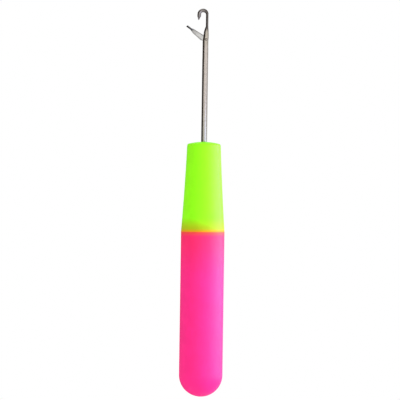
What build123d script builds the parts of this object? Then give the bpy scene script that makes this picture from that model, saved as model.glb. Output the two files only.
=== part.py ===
from build123d import *
import os
from math import cos, pi, sin, sqrt

# A latch hook tool in millimetres. Z runs up the tool's axis to the hook, the hook's mouth faces -X,
# and the origin lies on the axis, in the middle of the handle's straight barrel.

os.makedirs("parts", exist_ok=True)

# Handle, from the butt up
overall_length = 165.0
barrel_length = 60.8
barrel_radius = 9.25
front_grip_length = 38.3
nose_radius = 7.12
nose_crown = 1.0
nose_chamfer = 0.4
taper_hollow = 0.15
grip_wall = 2.4
# The socket's bottom: shares of its radius, out from the axis and down from the barrel's end
socket_bottom_shares = ((1.0, 0.0), (0.6, 0.75), (0.0, 0.75))
spigot_length = 14.0
spigot_chamfer = 0.8
glue_gap = 0.05

# Needle: shank, tang and the hook at its top
shank_radius = 1.25
tang_depth = 34.0
tang_blade_length = 8.0
tang_blade_width = 3.6
tang_blade_thickness = 1.3
moulding_gap = 0.02
bend_radius = 1.7
crown_half = 0.78
crown_half_y = 0.78
stem_half = 0.53
stem_half_y = 0.75
stem_inset = 0.14
stem_length = 4.9
beak_length = 2.35
beak_full_length = 0.8
beak_lean = 0.2
beak_tip_half = 0.14
# Sections from the round shank up to the stem: shares of the throat's length, of the front's cut-back,
# of the back's bulge, and of the thinning across Y
throat_length = 6.4
cheek_bulge = 0.17
throat_shares = (
    (0.0, 0.0, 0.0, 0.0),
    (0.2, 0.14, 0.7, 0.0),
    (0.42, 0.27, 1.0, 0.05),
    (0.62, 0.4, 0.85, 0.25),
    (0.81, 0.67, 0.35, 0.65),
    (1.0, 1.0, 0.0, 1.0),
)

# Latch: a blade that turns on a rivet in a sawn slot between two cheeks
pivot_offset = 0.3
pivot_below_bend = 10.67
rest_angle = 54.2
latch_reach = 10.15
blade_thickness = 0.5
blade_back_root = 1.58
blade_back_tip = 1.19
blade_front_tip = 0.43
blade_heel = 1.7
blade_heel_corner = 0.6
blade_back_length = 6.4
blade_front_length = 7.1
eye_radius = 0.85
spoon_length = 3.1
blade_overlap = 0.8
spoon_wall = 0.35
spoon_drop = 0.64
spoon_depth = 0.4
spoon_inner_radius = 0.9
rivet_radius = 0.42
rivet_flare = 0.1
rivet_dome = 0.22
rivet_fit_gap = 0.02
running_clearance = 0.04
slot_side_clearance = 0.06
slot_floor_clearance = 0.3
slot_above_pivot = 5.8
slot_below_pivot = 8.3
cut_overrun = 1.0

# Heights and places that follow from the sizes above
seam_z = barrel_length / 2
barrel_bottom_z = -barrel_length / 2
butt_z = barrel_bottom_z - barrel_radius
socket_radius = barrel_radius - grip_wall
spigot_radius = socket_radius - glue_gap
nose_z = seam_z + front_grip_length
nose_shoulder_z = nose_z - nose_crown
top_z = butt_z + overall_length
bend_z = top_z - crown_half - bend_radius
stem_x = shank_radius - stem_inset - stem_half
bend_x = stem_x - bend_radius
stem_bottom_z = bend_z - stem_length
throat_bottom_z = stem_bottom_z - throat_length
tang_bottom_z = nose_z - tang_depth
pivot_x = pivot_offset
pivot_z = bend_z - pivot_below_bend
slot_width = blade_thickness + 2 * slot_side_clearance
spoon_floor_x = -spoon_drop
spoon_rim_x = spoon_floor_x + spoon_wall + spoon_depth
rivet_rim_y = sqrt(shank_radius**2 - pivot_x**2) - rivet_dome + running_clearance


def height_at_half(radius, rise):
    """How high a round dome of this radius and rise stands halfway out from its centre."""
    ball = (radius**2 + rise**2) / (2 * rise)
    return rise - ball + sqrt(ball**2 - (radius / 2) ** 2)


def rear_grip():
    """The round-ended cup, with a blind socket that narrows to a flat bottom."""
    socket_bottom = [
        (across * socket_radius, 0, barrel_bottom_z - down * socket_radius)
        for across, down in socket_bottom_shares
    ]
    outline = Curve() + [
        ThreePointArc(
            (0, 0, butt_z),
            (barrel_radius * sin(pi / 4), 0, barrel_bottom_z - barrel_radius * cos(pi / 4)),
            (barrel_radius, 0, barrel_bottom_z),
        ),
        Polyline(
            (barrel_radius, 0, barrel_bottom_z),
            (barrel_radius, 0, seam_z),
            (socket_radius, 0, seam_z),
            *socket_bottom,
            (0, 0, butt_z),
        ),
    ]
    return revolve(make_face(outline), Axis.Z)


def wire(top_z, gap):
    """The needle's round wire up to a height, with the flat blade at its buried end, grown by a gap."""
    wire_bottom = tang_bottom_z + tang_blade_length
    rod = Pos(0, 0, wire_bottom) * Cylinder(
        shank_radius + gap,
        top_z - wire_bottom,
        align=(Align.CENTER, Align.CENTER, Align.MIN),
    )
    blade = Pos(0, 0, tang_bottom_z - gap) * Box(
        tang_blade_width + 2 * gap,
        tang_blade_thickness + 2 * gap,
        tang_blade_length + 2 * gap,
        align=(Align.CENTER, Align.CENTER, Align.MIN),
    )
    return rod + blade


def front_grip():
    """The front with its slightly hollow taper, crowned nose and rear spigot, moulded round the tang."""
    spigot_end_z = seam_z - spigot_length
    taper_middle = ((barrel_radius + nose_radius) / 2 - taper_hollow, 0, (seam_z + nose_shoulder_z) / 2)
    shoulder = (nose_radius, 0, nose_shoulder_z)
    outline = Curve() + [
        Polyline(
            (0, 0, spigot_end_z),
            (spigot_radius - spigot_chamfer, 0, spigot_end_z),
            (spigot_radius, 0, spigot_end_z + spigot_chamfer),
            (spigot_radius, 0, seam_z),
            (barrel_radius, 0, seam_z),
        ),
        ThreePointArc((barrel_radius, 0, seam_z), taper_middle, shoulder),
        ThreePointArc(
            shoulder,
            (nose_radius / 2, 0, nose_shoulder_z + height_at_half(nose_radius, nose_crown)),
            (0, 0, nose_z),
        ),
        Line((0, 0, nose_z), (0, 0, spigot_end_z)),
    ]
    half = make_face(outline)
    half = chamfer(half.vertices().sort_by_distance(shoulder)[0], nose_chamfer)
    return revolve(half, Axis.Z) - wire(nose_z + cut_overrun, moulding_gap)


def oval(place, half_x, half_y):
    """An oval section of the needle, lying square to its path."""
    return place * Ellipse(half_x, half_y)


def throat():
    """The stretch where the round shank thins to the stem, with its front cut back and its back bulged."""
    stem_front = stem_x - stem_half
    stem_back = stem_x + stem_half
    sections = []
    for along, cut_back, bulge, thinning in throat_shares:
        front = -shank_radius + cut_back * (stem_front + shank_radius)
        back = shank_radius + along * (stem_back - shank_radius) + bulge * cheek_bulge
        half_y = shank_radius + thinning * (stem_half_y - shank_radius)
        place = Pos((front + back) / 2, 0, throat_bottom_z + along * throat_length)
        sections.append(oval(place, (back - front) / 2, half_y))
    return loft(sections)


def hook_bend():
    """The half turn over the top, which thickens from the stem to the crown."""
    steps = 8
    sections = []
    for step in range(steps + 1):
        share = step / steps
        angle = share * pi
        grown = sin(min(angle, pi / 2))
        centre = (bend_x + bend_radius * cos(angle), 0, bend_z + bend_radius * sin(angle))
        place = Pos(*centre) * Rot(0, -180 * share, 0)
        half_x = stem_half + grown * (crown_half - stem_half)
        half_y = stem_half_y + grown * (crown_half_y - stem_half_y)
        sections.append(oval(place, half_x, half_y))
    return loft(sections)


def beak():
    """The hook's end below the bend: full for a short way, then a blunt cone."""
    start_x = bend_x - bend_radius
    cone_top = Pos(start_x, 0, bend_z - beak_full_length)
    cone_tip = Pos(start_x - beak_lean, 0, bend_z - beak_length)
    full = cone_top * extrude(Ellipse(crown_half, crown_half_y), beak_full_length)
    cone = loft(
        [
            oval(cone_top, crown_half, crown_half_y),
            oval(cone_tip, beak_tip_half, beak_tip_half),
        ],
        ruled=True,
    )
    return full + cone


def saw_cut():
    """The slot for the latch, as a round saw leaves it: deepest by the rivet, shallow at both ends."""
    middle_z = pivot_z + (slot_above_pivot - slot_below_pivot) / 2
    half_chord = (slot_above_pivot + slot_below_pivot) / 2
    deepest_x = pivot_x + eye_radius + slot_floor_clearance
    depth = deepest_x + shank_radius
    saw_radius = (half_chord**2 + depth**2) / (2 * depth)
    saw = Rot(90, 0, 0) * Cylinder(saw_radius, slot_width)
    return Pos(deepest_x - saw_radius, 0, middle_z) * saw


def rivet_pin(gap, end_outline):
    """A pin on the Y axis, flared towards both ends, grown by a gap and ended by the given outline."""
    radius = rivet_radius + gap
    neck_y = (slot_width / 2 + rivet_rim_y) / 2
    half = Curve() + [
        Polyline((0, 0), (radius, 0), (radius, neck_y), (radius + rivet_flare, rivet_rim_y)),
        *end_outline,
        Line((0, end_outline[-1].position_at(1).Y), (0, 0)),
    ]
    end = revolve(make_face(half), Axis.Y)
    return end + Rot(180, 0, 0) * end


def latch_rivet():
    """The rivet, peened to a low dome in the mouth of each hole."""
    rim = rivet_radius + rivet_flare
    dome = ThreePointArc(
        (rim, rivet_rim_y),
        (rim / 2, rivet_rim_y + height_at_half(rim, rivet_dome)),
        (0, rivet_rim_y + rivet_dome),
    )
    return Pos(pivot_x, 0, pivot_z) * rivet_pin(0, [dome])


def rivet_holes():
    """The holes through both cheeks, flared as the rivet is and open to the outside."""
    rim = rivet_radius + rivet_flare + rivet_fit_gap
    mouth = Polyline(
        (rim, rivet_rim_y),
        (rim, shank_radius + cut_overrun),
        (0, shank_radius + cut_overrun),
    )
    return Pos(pivot_x, 0, pivot_z) * rivet_pin(rivet_fit_gap, [mouth])


def hook_needle():
    """One wire from the tang to the hook, slotted for the latch and drilled for its rivet."""
    stem = Pos(stem_x, 0, stem_bottom_z) * extrude(Ellipse(stem_half, stem_half_y), stem_length)
    needle = wire(throat_bottom_z, 0) + throat() + stem + hook_bend() + beak()
    return needle - saw_cut() - rivet_holes()


def latch_blade():
    """The flat blade, drawn upright on the pivot: X across it towards the hook's side, Z along it."""
    blade_end = latch_reach - spoon_length + blade_overlap
    outline = Polyline(
        (-eye_radius, 0),
        (-blade_back_root, blade_heel),
        (-blade_back_tip, blade_back_length),
        (spoon_floor_x, blade_end),
        (spoon_rim_x, blade_end),
        (blade_front_tip, blade_front_length),
        (eye_radius, blade_heel),
        (eye_radius, 0),
        close=True,
    )
    face = make_face(outline)
    heel = face.vertices().sort_by(Axis.X)[0]
    face = fillet(heel, blade_heel_corner)
    face = face + Circle(eye_radius) - Circle(rivet_radius + running_clearance)
    blade = extrude(Plane.XZ * face, blade_thickness / 2, both=True)
    return blade


def spoon():
    """The trough at the latch's tip, round-ended in plan, where the beak lies when the latch is shut."""
    outer_radius = spoon_inner_radius + spoon_wall
    axis_x = spoon_floor_x + outer_radius
    rim_half = sqrt(outer_radius**2 - (axis_x - spoon_rim_x) ** 2)
    middle_z = latch_reach - spoon_length / 2
    plan = Plane.YZ * Pos(0, middle_z) * SlotOverall(spoon_length, 2 * rim_half, rotation=90)
    outside = Pos(axis_x, 0, middle_z) * Cylinder(outer_radius, spoon_length)
    dish_start = latch_reach - spoon_length + rim_half
    dish = Pos(axis_x, 0, dish_start) * (
        Sphere(spoon_inner_radius)
        + Cylinder(spoon_inner_radius, spoon_length, align=(Align.CENTER, Align.CENTER, Align.MIN))
    )
    below_rim = Pos(spoon_floor_x, 0, 0) * extrude(plan, spoon_rim_x - spoon_floor_x)
    return (outside & below_rim) - dish


def latch():
    """The latch, leaning open by its rest angle from the shank."""
    upright = latch_blade() + spoon()
    return Pos(pivot_x, 0, pivot_z) * Rot(0, -rest_angle, 0) * upright


pieces = {
    "rear_grip": rear_grip(),
    "front_grip": front_grip(),
    "hook_needle": hook_needle(),
    "latch_rivet": latch_rivet(),
    "latch": latch(),
}

for name, shape in pieces.items():
    export_step(shape, f"parts/{name}.step")
    box = shape.bounding_box()
    print(name, len(shape.solids()), "solid,", round(shape.volume, 2), "mm3")
    print("    from z", round(box.min.Z, 2), "to z", round(box.max.Z, 2))
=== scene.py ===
"""The looks of the latch hook tool: a moulded handle in two colours, a drawn steel needle and its latch."""
import math

import bpy
from mathutils import Matrix, Vector


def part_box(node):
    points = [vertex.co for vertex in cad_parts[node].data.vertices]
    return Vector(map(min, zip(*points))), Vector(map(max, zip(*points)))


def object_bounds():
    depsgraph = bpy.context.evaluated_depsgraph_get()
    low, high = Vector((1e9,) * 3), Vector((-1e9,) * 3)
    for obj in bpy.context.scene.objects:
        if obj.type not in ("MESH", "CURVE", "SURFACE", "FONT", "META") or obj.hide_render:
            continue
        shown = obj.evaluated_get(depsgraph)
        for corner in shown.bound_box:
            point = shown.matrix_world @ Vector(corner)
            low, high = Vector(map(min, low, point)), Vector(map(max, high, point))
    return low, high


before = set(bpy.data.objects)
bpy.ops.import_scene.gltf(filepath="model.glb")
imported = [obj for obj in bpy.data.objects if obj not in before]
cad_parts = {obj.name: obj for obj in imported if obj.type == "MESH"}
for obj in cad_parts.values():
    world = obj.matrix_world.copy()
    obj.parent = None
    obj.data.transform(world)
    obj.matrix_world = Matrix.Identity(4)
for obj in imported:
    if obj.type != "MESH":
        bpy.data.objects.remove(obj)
cad_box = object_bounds()

MM = 0.001
WHITE = (1.0, 1.0, 1.0, 1.0)
GRIPS = ("front_grip", "rear_grip")
STEEL_PIECES = ("hook_needle", "latch", "latch_rivet")

# Camera, measured in the photo, which is 400 pixels square
PIXEL_MM = 0.4253
FRAME_PX = 400
TOOL_LEAN = math.radians(0.83)
AXIS_OFFSET_PX = 3.2
BUTT_PX = 396.6
CAMERA_DISTANCE = 1.2
SENSOR_MM = 36.0

# Floor and world
FLOOR_DROP = 0.04
FLOOR_RADIUS = 1.6
FLOOR_FADE_FROM = 0.24
FLOOR_FADE_TO = 0.5
FLOOR_COLOUR = (0.88, 0.88, 0.88, 1.0)
FLOOR_ROUGHNESS = 0.9
AMBIENT_COLOUR = (1.0, 0.99, 0.98, 1.0)
AMBIENT_LEVEL = 1.0
STUDIO_LEVEL = 1.0

# Lamps: where each stands, how wide it is, its colour and its power
KEY_PLACE = (0.87, -0.38, 0.3)
KEY_SIZE = 0.6
KEY_COLOUR = (0.72, 0.75, 1.0)
KEY_WATTS = 10.0
SHEEN_PLACE = (0.9, 0.0, 0.1)
SHEEN_SIZE = 1.4
SHEEN_COLOUR = (0.45, 0.7, 1.0)
SHEEN_WATTS = 70.0

# Cards round the tool that only reflections see. Their sides are placed in metres from its axis, and their
# tops in metres above the frame's origin. The low part of the left card starts further back. The side cards
# stand nearer and end below the handle's nose, so that the needle sees what is behind them.
DARK_CARD = (0.09, 0.08, 0.07, 1.0)
GREY_CARD = (0.6, 0.6, 0.6, 1.0)
BRIGHT_CARD = (1.65, 1.65, 1.65, 1.0)
SIDE_CARD = (2.6, 2.8, 3.8, 1.0)
CARD_TOP = 0.7
CARD_LIFT = 1 * MM
LEFT_CARD = -0.4
LEFT_CARD_FRONT = -0.62
LOW_LEFT_FRONT = -0.3
LOW_LEFT_TOP = 0.115
FRONT_CARD = -1.0
FRONT_CARD_LEFT = -0.8
RIGHT_CARD = 1.0
RIGHT_CARD_BACK = -0.33
BACK_CARD = 1.2
SIDE_CARD_LEFT = 0.08
SIDE_CARD_REACH = 0.3
SIDE_CARD_BACK = 0.2
SIDE_CARD_TOP = 0.035

# Plastics, and how far above or below the seam their colours change
LIME = (0.29, 0.99, 0.004, 1.0)
OLIVE = (0.42, 0.56, 0.002, 1.0)
ORANGE = (0.78, 0.32, 0.006, 1.0)
PINK = (1.0, 0.022, 0.24, 1.0)
WARM_PINK = (1.0, 0.022, 0.15, 1.0)
CORAL = (0.9, 0.08, 0.05, 1.0)
OLIVE_HEIGHT = 7.0 * MM
ORANGE_HEIGHT = 1.6 * MM
CORAL_DEPTH = 2.2 * MM
WARM_DEPTH = 22.0 * MM
PLASTIC_IOR = 1.55
PLASTIC_SHINE = 0.1
PLASTIC_ROUGHNESS = (0.5, 0.6)

# Edges: how near points are joined, the least angle that is rounded, how far, and in how many facets
WELD_REACH = 0.0005 * MM
SHARP_ANGLE = math.radians(30)
PLASTIC_EDGE = 0.08 * MM
STEEL_EDGE = 0.04 * MM
EDGE_FACETS = 3

# Steels, and the heights above the rivet where the needle's steel changes its tone
NEEDLE_STEEL = (0.37, 0.33, 0.296, 1.0)
FOOT_STEEL = (0.345, 0.327, 0.28, 1.0)
CHEEK_STEEL = (0.345, 0.31, 0.265, 1.0)
# Painted dark reflection: the hook, and darker still its stem, get these dark colours in place of reflected
# shade
HOOK_DARK_REFLECTION = (0.2, 0.182, 0.17, 1.0)
STEM_DARK_REFLECTION = (0.09, 0.08, 0.074, 1.0)
RIVET_STEEL = (0.27, 0.24, 0.2, 1.0)
BLADE_STEEL = (0.41, 0.405, 0.39, 1.0)
# Painted dark reflection on the blade's edges and outer part, and on the spoon seen edge-on
BLADE_DARK_REFLECTION = (0.19, 0.185, 0.178, 1.0)
SPOON_DARK_REFLECTION = (0.12, 0.12, 0.117, 1.0)
STEEL_ROUGHNESS = (0.15, 0.25)
FOOT_FROM = -26 * MM
FOOT_FULL = -40 * MM
CHEEKS_FROM = -3.5 * MM
CHEEKS_FULL = -1.5 * MM
HOOK_REFLECTION_FROM = 2.8 * MM
HOOK_REFLECTION_FULL = 5.0 * MM

# Where along X, which runs towards the tool's back, the hook's painted dark reflection goes over into the
# stem's darker one
STEM_REFLECTION_FROM = -1.2 * MM
STEM_REFLECTION_FULL = 0.2 * MM

# Latch: the lean of its blade from the shank, how far its centre line lies beside the rivet, how far from
# the rivet the blade's painted dark reflection and the spoon begin, half the blade's width at two
# distances from the rivet, and the shares of that half between which its edge has a painted dark reflection
REST_LEAN = math.radians(54.2)
BLADE_OFFSET = 0.36 * MM
BLADE_REFLECTION_FROM = 3.5 * MM
SPOON_FROM = 6.6 * MM
SPOON_FULL = 8.0 * MM
BLADE_ROOT = (1.7 * MM, 1.22 * MM)
BLADE_SHOULDER = (SPOON_FROM, 0.83 * MM)
BLADE_EDGE_SHARES = (0.3, 0.95)

# Grain. A size is that of the noise's features, a stretch draws them out along X, Y and Z, and a detail is
# how much finer noise lies on them. A span is where the noise goes from nothing to full, tones are what the
# colour is multiplied by at its two ends, and a rise is the height of the bump.
LOW_DETAIL = 2.0
MIDDLE_DETAIL = 3.0
HIGH_DETAIL = 4.0
NO_STRETCH = (1.0, 1.0, 1.0)
CLOUD_SIZE = 6.0 * MM
CLOUD_SPAN = (0.35, 0.65)
CLOUD_TONES = (0.96, 1.0)
CLOUD_RISE = 0.06 * MM
CLOUD_STRENGTH = 0.5
SCUFF_SIZE = 0.9 * MM
SCUFF_STRETCH = (1.0, 1.0, 6.0)
SCUFF_SPAN = (0.5, 0.75)
SPECK_SIZE = 0.25 * MM
SPECK_SPAN = (0.66, 0.76)
SPECK_TONES = (1.0, 0.88)
PEEL_SIZE = 0.35 * MM
PEEL_RISE = 0.03 * MM
PEEL_STRENGTH = 0.8
RAGGED_SIZE = 5.0 * MM
RAGGED_HEIGHT = 0.8 * MM
STREAK_SIZE = 0.05 * MM
STREAK_SPAN = (0.3, 0.7)
STREAK_TONES = (0.92, 1.05)
STREAK_RISE = 0.002 * MM
STREAK_STRENGTH = 0.6
NEEDLE_STRETCH = (1.0, 1.0, 30.0)
LATCH_STRETCH = (8.0, 1.0, 8.0)
MOTTLE_SIZE = 1.1 * MM
MOTTLE_SPAN = (0.35, 0.7)
MOTTLE_TONES = (1.04, 0.92)
PIT_SIZE = 0.12 * MM
PIT_SPAN = (0.68, 0.78)
PIT_RISE = -0.004 * MM
PIT_STRENGTH = 1.0

# Where Blender's Mix node has its share and its two colours, and its mixed colour
MIX_INPUTS = (0, 6, 7)
MIX_OUTPUT = 2

# The middle of the rivet, which the latch turns on, and the height of the seam between the two plastics
rivet_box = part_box("latch_rivet")
pivot = (rivet_box[0] + rivet_box[1]) / 2
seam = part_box("rear_grip")[1].z


def add(tree, kind, **settings):
    """A new node of this kind with its settings."""
    made = tree.nodes.new(kind)
    for name, value in settings.items():
        setattr(made, name, value)
    return made


def plug(tree, socket, value):
    """Links a socket to another node's output, or sets it to a value."""
    if isinstance(value, bpy.types.NodeSocket):
        tree.links.new(value, socket)
    else:
        socket.default_value = value


def fill(tree, node, **inputs):
    """Plugs a node's inputs by name, where an underscore stands for a space."""
    for name, value in inputs.items():
        plug(tree, node.inputs[name.replace("_", " ")], value)
    return node


def calculate(tree, operation, *values):
    """A number worked out from one, two or three others."""
    made = add(tree, "ShaderNodeMath", operation=operation)
    for socket, value in zip(made.inputs, values):
        plug(tree, socket, value)
    return made.outputs["Value"]


def remap(tree, value, start, end, low=0.0, high=1.0):
    """Low at start, high at end, and smooth between them."""
    made = add(tree, "ShaderNodeMapRange", interpolation_type="SMOOTHSTEP")
    fill(tree, made, Value=value, From_Min=start, From_Max=end, To_Min=low, To_Max=high)
    return made.outputs["Result"]


def between(tree, share, ends):
    """The first of two numbers where the share is 0, the second where it is 1, and smooth between them."""
    return remap(tree, share, 0.0, 1.0, *ends)


def mix(tree, share, first, second):
    """The first colour where the share is 0 and the second where it is 1."""
    made = add(tree, "ShaderNodeMix", data_type="RGBA")
    for place, value in zip(MIX_INPUTS, (share, first, second)):
        plug(tree, made.inputs[place], value)
    return made.outputs[MIX_OUTPUT]


def mix_shaders(tree, share, first, second):
    """The first shader where the share is 0 and the second where it is 1."""
    made = add(tree, "ShaderNodeMixShader")
    for socket, value in zip(made.inputs, (share, first, second)):
        plug(tree, socket, value)
    return made.outputs["Shader"]


def shade(tree, colour, factor):
    """A colour made lighter or darker by a factor."""
    made = add(tree, "ShaderNodeVectorMath", operation="SCALE")
    plug(tree, made.inputs[0], colour[:3] if isinstance(colour, tuple) else colour)
    fill(tree, made, Scale=factor)
    return made.outputs["Vector"]


def place_in_frame(tree):
    """Where a point lies in the row frame, in metres, carried along by the piece's body."""
    return add(tree, "ShaderNodeTexCoord").outputs["Object"]


def split(tree):
    """A point's X, Y and Z in the row frame."""
    return fill(tree, add(tree, "ShaderNodeSeparateXYZ"), Vector=place_in_frame(tree)).outputs


def distance_along(tree, direction, start):
    """How far a point lies from a start, measured along a direction."""
    made = add(tree, "ShaderNodeVectorMath", operation="DOT_PRODUCT")
    plug(tree, made.inputs[0], place_in_frame(tree))
    plug(tree, made.inputs[1], direction)
    return calculate(tree, "SUBTRACT", made.outputs["Value"], direction.dot(start))


def noise(tree, size, detail=MIDDLE_DETAIL, stretch=NO_STRETCH):
    """Noise with features of about this size in metres, drawn out along each axis by the stretch."""
    mapping = add(tree, "ShaderNodeMapping")
    fill(tree, mapping, Vector=place_in_frame(tree), Scale=[1 / (size * times) for times in stretch])
    texture = add(tree, "ShaderNodeTexNoise")
    fill(tree, texture, Vector=mapping.outputs["Vector"], Scale=1.0, Detail=detail)
    return texture.outputs["Fac"]


def bump(tree, height, rise, strength, under=None):
    """A bumped normal, on top of another one where there is one under it."""
    made = fill(tree, add(tree, "ShaderNodeBump"), Height=height, Distance=rise, Strength=strength)
    if under is not None:
        plug(tree, made.inputs["Normal"], under)
    return made.outputs["Normal"]


def glow(tree, colour):
    """A shader that gives off this colour as it is written."""
    return fill(tree, add(tree, "ShaderNodeEmission"), Color=colour, Strength=1.0).outputs["Emission"]


def new_material(name):
    """An empty node material, with its tree and its Principled shader."""
    material = bpy.data.materials.new(name)
    material.use_nodes = True
    tree = material.node_tree
    return material, tree, tree.nodes["Principled BSDF"]


def show(tree, shader_output):
    """Makes this the shader that a material's surface shows."""
    plug(tree, tree.nodes["Material Output"].inputs["Surface"], shader_output)


def moulded_plastic(name, colour_of):
    """Satin moulded plastic: cloudy colour with tiny specks, a fine orange peel and a little hand wear."""
    material, tree, shader = new_material(name)
    clouds = remap(tree, noise(tree, CLOUD_SIZE), *CLOUD_SPAN)
    scuffs = remap(tree, noise(tree, SCUFF_SIZE, HIGH_DETAIL, SCUFF_STRETCH), *SCUFF_SPAN)
    specks = remap(tree, noise(tree, SPECK_SIZE, LOW_DETAIL), *SPECK_SPAN)
    peel = noise(tree, PEEL_SIZE, LOW_DETAIL)
    cloud_tone = between(tree, clouds, CLOUD_TONES)
    speck_tone = between(tree, specks, SPECK_TONES)
    tone = calculate(tree, "MULTIPLY", cloud_tone, speck_tone)
    swells = bump(tree, clouds, CLOUD_RISE, CLOUD_STRENGTH)
    fill(
        tree,
        shader,
        Base_Color=shade(tree, colour_of(tree), tone),
        Roughness=between(tree, scuffs, PLASTIC_ROUGHNESS),
        IOR=PLASTIC_IOR,
        Specular_IOR_Level=PLASTIC_SHINE,
        Normal=bump(tree, peel, PEEL_RISE, PEEL_STRENGTH, swells),
    )
    return material


def lime_colour(tree):
    """Lime green that goes olive and then orange towards the seam, where the pink shows through it."""
    height = split(tree)["Z"]
    ragged = calculate(tree, "MULTIPLY_ADD", noise(tree, RAGGED_SIZE), RAGGED_HEIGHT, height)
    olive = remap(tree, ragged, seam + OLIVE_HEIGHT, seam + ORANGE_HEIGHT)
    orange = remap(tree, height, seam + ORANGE_HEIGHT, seam)
    return mix(tree, orange, mix(tree, olive, LIME, OLIVE), ORANGE)


def pink_colour(tree):
    """Hot pink that goes a little warmer up to the seam, and coral just below it."""
    height = split(tree)["Z"]
    warm = remap(tree, height, seam - WARM_DEPTH, seam)
    coral = remap(tree, height, seam - CORAL_DEPTH, seam)
    return mix(tree, coral, mix(tree, warm, PINK, WARM_PINK), CORAL)


def drawn_steel(name, colour_of, stretch):
    """Drawn and tumbled steel: fine streaks along it, small pits and a faint mottle."""
    material, tree, shader = new_material(name)
    streaks = remap(tree, noise(tree, STREAK_SIZE, MIDDLE_DETAIL, stretch), *STREAK_SPAN)
    mottle = remap(tree, noise(tree, MOTTLE_SIZE, HIGH_DETAIL), *MOTTLE_SPAN)
    pits = remap(tree, noise(tree, PIT_SIZE, LOW_DETAIL), *PIT_SPAN)
    streak_tone = between(tree, streaks, STREAK_TONES)
    mottle_tone = between(tree, mottle, MOTTLE_TONES)
    tone = calculate(tree, "MULTIPLY", streak_tone, mottle_tone)
    grooves = bump(tree, streaks, STREAK_RISE, STREAK_STRENGTH)
    fill(
        tree,
        shader,
        Base_Color=shade(tree, colour_of(tree), tone),
        Metallic=1.0,
        Roughness=between(tree, streaks, STEEL_ROUGHNESS),
        Normal=bump(tree, pits, PIT_RISE, PIT_STRENGTH, grooves),
    )
    return material


def needle_colour(tree):
    """Bright on the shank, yellower at its foot and cheeks, with a painted dark reflection on the hook,
    darkest on its stem.
    """
    axes = split(tree)
    height = calculate(tree, "SUBTRACT", axes["Z"], pivot.z)
    foot = remap(tree, height, FOOT_FROM, FOOT_FULL)
    cheeks = remap(tree, height, CHEEKS_FROM, CHEEKS_FULL)
    hook = remap(tree, height, HOOK_REFLECTION_FROM, HOOK_REFLECTION_FULL)
    stem = remap(tree, axes["X"], STEM_REFLECTION_FROM, STEM_REFLECTION_FULL)
    low = mix(tree, cheeks, mix(tree, foot, NEEDLE_STEEL, FOOT_STEEL), CHEEK_STEEL)
    # The hook and stem colours mixed in here are a painted dark reflection
    return mix(tree, hook, low, mix(tree, stem, HOOK_DARK_REFLECTION, STEM_DARK_REFLECTION))


def latch_colour(tree):
    """A light blade with a painted dark reflection that grows towards its edges and its spoon."""
    across_axis = Vector((math.cos(REST_LEAN), 0.0, math.sin(REST_LEAN)))
    along_axis = Vector((-math.sin(REST_LEAN), 0.0, math.cos(REST_LEAN)))
    across = calculate(tree, "ADD", distance_along(tree, across_axis, pivot), BLADE_OFFSET)
    along = distance_along(tree, along_axis, pivot)
    half = add(tree, "ShaderNodeMapRange")
    (root, root_half), (shoulder, shoulder_half) = BLADE_ROOT, BLADE_SHOULDER
    fill(tree, half, Value=along, From_Min=root, From_Max=shoulder, To_Min=root_half, To_Max=shoulder_half)
    share = calculate(tree, "DIVIDE", calculate(tree, "ABSOLUTE", across), half.outputs["Result"])
    # Painted dark reflection: the blade darkens along towards its spoon and across towards its edges
    middle = mix(tree, remap(tree, along, BLADE_REFLECTION_FROM, SPOON_FULL), BLADE_STEEL, BLADE_DARK_REFLECTION)
    blade = mix(tree, remap(tree, share, *BLADE_EDGE_SHARES), middle, BLADE_DARK_REFLECTION)
    return mix(tree, remap(tree, along, SPOON_FROM, SPOON_FULL), blade, SPOON_DARK_REFLECTION)


def rivet_colour(tree):
    """The same dull steel all over the rivet."""
    return RIVET_STEEL


def dress(node, material):
    """Gives a CAD node its material."""
    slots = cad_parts[node].material_slots
    if not slots:
        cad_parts[node].data.materials.append(material)
    for slot in slots:
        slot.material = material


def soften_edges(node, width):
    """Rounds a CAD node's sharp edges a little, as tumbling or a mould does."""
    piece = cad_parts[node]
    weld = piece.modifiers.new("joined_faces", "WELD")
    weld.merge_threshold = WELD_REACH
    bevel = piece.modifiers.new("soft_edges", "BEVEL")
    bevel.width = width
    bevel.segments = EDGE_FACETS
    bevel.limit_method = "ANGLE"
    bevel.angle_limit = SHARP_ANGLE


def sees_studio(tree):
    """1 for the rays that show the studio: those of the camera, of gloss and of glass."""
    path = add(tree, "ShaderNodeLightPath").outputs
    first = calculate(tree, "MAXIMUM", path["Is Camera Ray"], path["Is Glossy Ray"])
    return calculate(tree, "MAXIMUM", first, path["Is Transmission Ray"])


def background(tree, colour, level):
    """A world shader of this colour and level."""
    return fill(tree, add(tree, "ShaderNodeBackground"), Color=colour, Strength=level).outputs["Background"]


def make_world():
    """White to the eye and in reflections, and a plain soft light for the rest."""
    world = bpy.data.worlds.new("studio_world")
    world.use_nodes = True
    bpy.context.scene.world = world
    tree = world.node_tree
    tree.nodes.clear()
    shown = background(tree, WHITE, STUDIO_LEVEL)
    ambient = background(tree, AMBIENT_COLOUR, AMBIENT_LEVEL)
    output = add(tree, "ShaderNodeOutputWorld")
    fill(tree, output, Surface=mix_shaders(tree, sees_studio(tree), ambient, shown))


def flat_piece(name, corners, material):
    """A flat four-cornered piece of the studio."""
    mesh = bpy.data.meshes.new(name)
    mesh.from_pydata(corners, [], [range(len(corners))])
    mesh.materials.append(material)
    piece = bpy.data.objects.new(name, mesh)
    bpy.context.scene.collection.objects.link(piece)
    return piece


def level_corners(left, right, front, back, height):
    """The corners of a level rectangle."""
    return [(left, front, height), (right, front, height), (right, back, height), (left, back, height)]


def upright_corners(start, end, low, high):
    """The corners of an upright rectangle that stands on a line."""
    return [(*start, low), (*end, low), (*end, high), (*start, high)]


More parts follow.
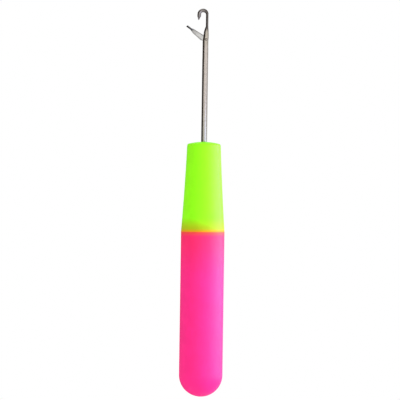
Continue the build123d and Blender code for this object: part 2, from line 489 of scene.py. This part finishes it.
def make_floor(level):
    """A pale matt floor that takes the shadow and fades to white further out."""
    material, tree, shader = new_material("pale_floor")
    fill(tree, shader, Base_Color=FLOOR_COLOUR, Roughness=FLOOR_ROUGHNESS, Specular_IOR_Level=0.0)
    far = add(tree, "ShaderNodeVectorMath", operation="LENGTH")
    plug(tree, far.inputs[0], place_in_frame(tree))
    fade = remap(tree, far.outputs["Value"], FLOOR_FADE_FROM, FLOOR_FADE_TO)
    share = calculate(tree, "MULTIPLY", fade, sees_studio(tree))
    show(tree, mix_shaders(tree, share, shader.outputs["BSDF"], glow(tree, WHITE)))
    corners = level_corners(-FLOOR_RADIUS, FLOOR_RADIUS, -FLOOR_RADIUS, FLOOR_RADIUS, level)
    flat_piece("floor", corners, material)


def make_card(name, colour, corners):
    """A card that only reflections see."""
    material, tree, _ = new_material(name)
    show(tree, glow(tree, colour))
    card = flat_piece(name, corners, material)
    card.visible_camera = False
    card.visible_diffuse = False
    card.visible_shadow = False
    card.visible_transmission = False


def make_cards(level):
    """Dark at the left and below, grey behind, bright in front and at the right, and brightest low down."""
    low = level + CARD_LIFT
    far = (low, CARD_TOP)
    near = (low, SIDE_CARD_TOP)
    left_front = (LEFT_CARD, LEFT_CARD_FRONT)
    low_left_front = (LEFT_CARD, LOW_LEFT_FRONT)
    left_back = (LEFT_CARD, BACK_CARD)
    front_left = (FRONT_CARD_LEFT, FRONT_CARD)
    corner = (RIGHT_CARD, FRONT_CARD)
    side_left = (SIDE_CARD_LEFT, -SIDE_CARD_REACH)
    side_corner = (SIDE_CARD_REACH, -SIDE_CARD_REACH)
    side_back = (SIDE_CARD_REACH, SIDE_CARD_BACK)
    make_card("low_card", DARK_CARD, level_corners(LEFT_CARD, 0.0, 0.0, BACK_CARD, low))
    make_card("left_card", DARK_CARD, upright_corners(left_front, left_back, LOW_LEFT_TOP, CARD_TOP))
    make_card("low_left_card", DARK_CARD, upright_corners(low_left_front, left_back, low, LOW_LEFT_TOP))
    make_card("front_card", BRIGHT_CARD, upright_corners(front_left, corner, *far))
    make_card("right_card", BRIGHT_CARD, upright_corners(corner, (RIGHT_CARD, RIGHT_CARD_BACK), *far))
    make_card("back_card", GREY_CARD, upright_corners(left_back, (RIGHT_CARD, BACK_CARD), *far))
    make_card("front_side_card", SIDE_CARD, upright_corners(side_left, side_corner, *near))
    make_card("right_side_card", SIDE_CARD, upright_corners(side_corner, side_back, *near))


def soft_lamp(name, place, size, colour, watts):
    """A square lamp that faces the tool's middle."""
    data = bpy.data.lights.new(name, "AREA")
    data.size = size
    data.color = colour
    data.energy = watts
    lamp = bpy.data.objects.new(name, data)
    lamp.location = place
    target = Vector((0.0, 0.0, (cad_box[0].z + cad_box[1].z) / 2))
    lamp.rotation_euler = (target - Vector(place)).to_track_quat("-Z", "Y").to_euler()
    bpy.context.scene.collection.objects.link(lamp)
    return lamp


def make_key_lamp():
    """A lamp at the right, a little in front and above, that gives no gloss."""
    lamp = soft_lamp("key_lamp", KEY_PLACE, KEY_SIZE, KEY_COLOUR, KEY_WATTS)
    lamp.visible_glossy = False


def make_sheen_lamp():
    """A wide bluish lamp at the right that gives gloss alone, and to the handle alone."""
    lamp = soft_lamp("sheen_lamp", SHEEN_PLACE, SHEEN_SIZE, SHEEN_COLOUR, SHEEN_WATTS)
    lamp.visible_diffuse = False
    handle = bpy.data.collections.new("handle_under_sheen_lamp")
    for grip in GRIPS:
        handle.objects.link(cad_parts[grip])
    lamp.light_linking.receiver_collection = handle


def make_camera():
    """Level with the tool and square to the plane its latch swings in, turned by the photo's lean."""
    middle_px = FRAME_PX / 2
    centre_z = cad_box[0].z + (BUTT_PX - middle_px) * PIXEL_MM * MM
    right = Vector((math.cos(TOOL_LEAN), 0.0, math.sin(TOOL_LEAN)))
    up = Vector((-math.sin(TOOL_LEAN), 0.0, math.cos(TOOL_LEAN)))
    back = Vector((0.0, -1.0, 0.0))
    place = Vector((0.0, 0.0, centre_z)) - right * AXIS_OFFSET_PX * PIXEL_MM * MM + back * CAMERA_DISTANCE
    data = bpy.data.cameras.new("camera")
    data.sensor_width = SENSOR_MM
    data.lens = SENSOR_MM * CAMERA_DISTANCE / (FRAME_PX * PIXEL_MM * MM)
    camera = bpy.data.objects.new("camera", data)
    camera.matrix_world = Matrix.Translation(place) @ Matrix((right, up, back)).transposed().to_4x4()
    bpy.context.scene.collection.objects.link(camera)
    bpy.context.scene.camera = camera


floor_level = cad_box[0].z - FLOOR_DROP
make_camera()
make_world()
make_floor(floor_level)
make_cards(floor_level)
make_key_lamp()
make_sheen_lamp()

dress("hook_needle", drawn_steel("needle_steel", needle_colour, NEEDLE_STRETCH))
dress("latch_rivet", drawn_steel("rivet_steel", rivet_colour, NO_STRETCH))
dress("latch", drawn_steel("latch_steel", latch_colour, LATCH_STRETCH))
dress("front_grip", moulded_plastic("lime_plastic", lime_colour))
dress("rear_grip", moulded_plastic("pink_plastic", pink_colour))

for node in GRIPS:
    soften_edges(node, PLASTIC_EDGE)
for node in STEEL_PIECES:
    soften_edges(node, STEEL_EDGE)

bpy.context.scene.view_settings.view_transform = "Standard"
